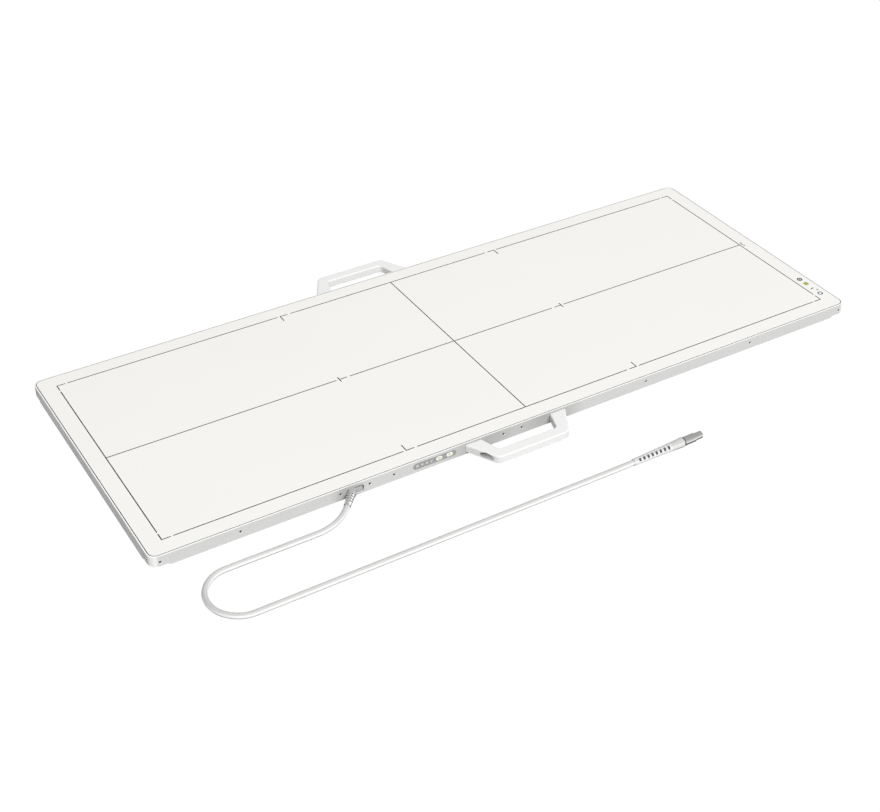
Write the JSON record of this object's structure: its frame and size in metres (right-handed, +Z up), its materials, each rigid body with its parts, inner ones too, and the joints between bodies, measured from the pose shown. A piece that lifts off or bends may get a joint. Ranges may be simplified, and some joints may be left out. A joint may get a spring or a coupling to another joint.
{
  "type": "flat panel x-ray detector",
  "caption": "Long flat panel x-ray detector lying face up, with a handle on each long side, push buttons and lights in one edge, and a plug-in lead ending in a locking connector.",
  "frame": {"origin": "centre of the panel's footprint, on the surface that it lies on", "axes": "+X along the panel's length, -Y towards the long side with the buttons and the lead, +Z up, out of the face that takes the picture"},
  "size_m": [1.2806, 0.7044, 0.022],
  "materials": {
    "housing": "satin powder coat",
    "cap": "matt",
    "plate": "satin",
    "cover": "satin powder coat",
    "handle": "gloss",
    "steel": "plated",
    "aluminium": "as machined",
    "brass": "plated",
    "seal": "matt",
    "mark": "print",
    "foam": "matt",
    "scintillator": "matt",
    "glass": "polished",
    "shield": "matt",
    "film": "satin",
    "board": "satin",
    "chip": "matt",
    "pad": "matt",
    "window": "satin",
    "button": "satin",
    "light": "clear",
    "plug": "matt",
    "lead": "satin",
    "connector": "satin",
    "sleeve": "satin"
  },
  "bodies": {
    "panel": {"near_rail": "housing", "far_rail": "housing", "left_rail": "housing", "right_rail": "housing", "corner_cap_1": "cap", "corner_cap_2": "cap", "corner_cap_3": "cap", "corner_cap_4": "cap", "corner_brackets": "aluminium", "front_plate": "plate", "field_marks": "mark", "plate_seal": "seal", "foam_sheet": "foam", "scintillator_sheet": "scintillator", "sensor_tiles": "glass", "shield_sheet": "shield", "support_plate": "aluminium", "sensor_films": "film", "main_board": "board", "power_board": "board", "gate_boards": "board", "readout_boards": "board", "board_standoffs": "brass", "support_posts": "aluminium", "board_chips": "chip", "heat_spreaders": "aluminium", "thermal_pads": "pad", "tie_blocks": "aluminium", "rear_cover": "cover", "rear_seal": "seal", "cover_screws": "steel", "side_screws": "steel", "cap_screws": "steel", "near_handle": "handle", "far_handle": "handle", "handle_pads": "seal", "handle_screws": "steel", "handle_inserts": "brass", "control_window": "window", "button_switches": "chip", "light_pipes": "light", "control_board": "board", "control_ribbon": "film", "blank_cover": "housing", "cable_socket": "chip", "socket_contacts": "brass", "socket_screws": "steel", "socket_ribbon": "film"},
    "power_button": {"power_button": "button"},
    "mode_button": {"mode_button": "button"},
    "cable_lead": {"cable_plug": "plug", "plug_boot": "lead", "cable": "lead", "connector_grip": "lead", "connector_body": "connector", "connector_nose": "sleeve", "connector_insert": "chip", "connector_pins": "brass"},
    "lock_sleeve": {"locking_sleeve": "sleeve"}
  },
  "joints": [
    {"name": "power_button_press", "type": "slide", "parent": "panel", "child": "power_button", "axis": [0, 1, 0], "range_m": [0, 0.0006], "stiffness_N_per_m": 2500},
    {"name": "mode_button_press", "type": "slide", "parent": "panel", "child": "mode_button", "axis": [0, 1, 0], "range_m": [0, 0.0006], "stiffness_N_per_m": 2500},
    {"name": "plug_pull", "type": "slide", "parent": "panel", "child": "cable_lead", "axis": [0, -1, 0], "range_m": [0, 0.008]},
    {"name": "locking_sleeve_pull", "type": "slide", "parent": "cable_lead", "child": "lock_sleeve", "axis": [-0.9996, 0.0059, -0.0279], "range_m": [0, 0.0015], "stiffness_N_per_m": 3000}
  ]
}
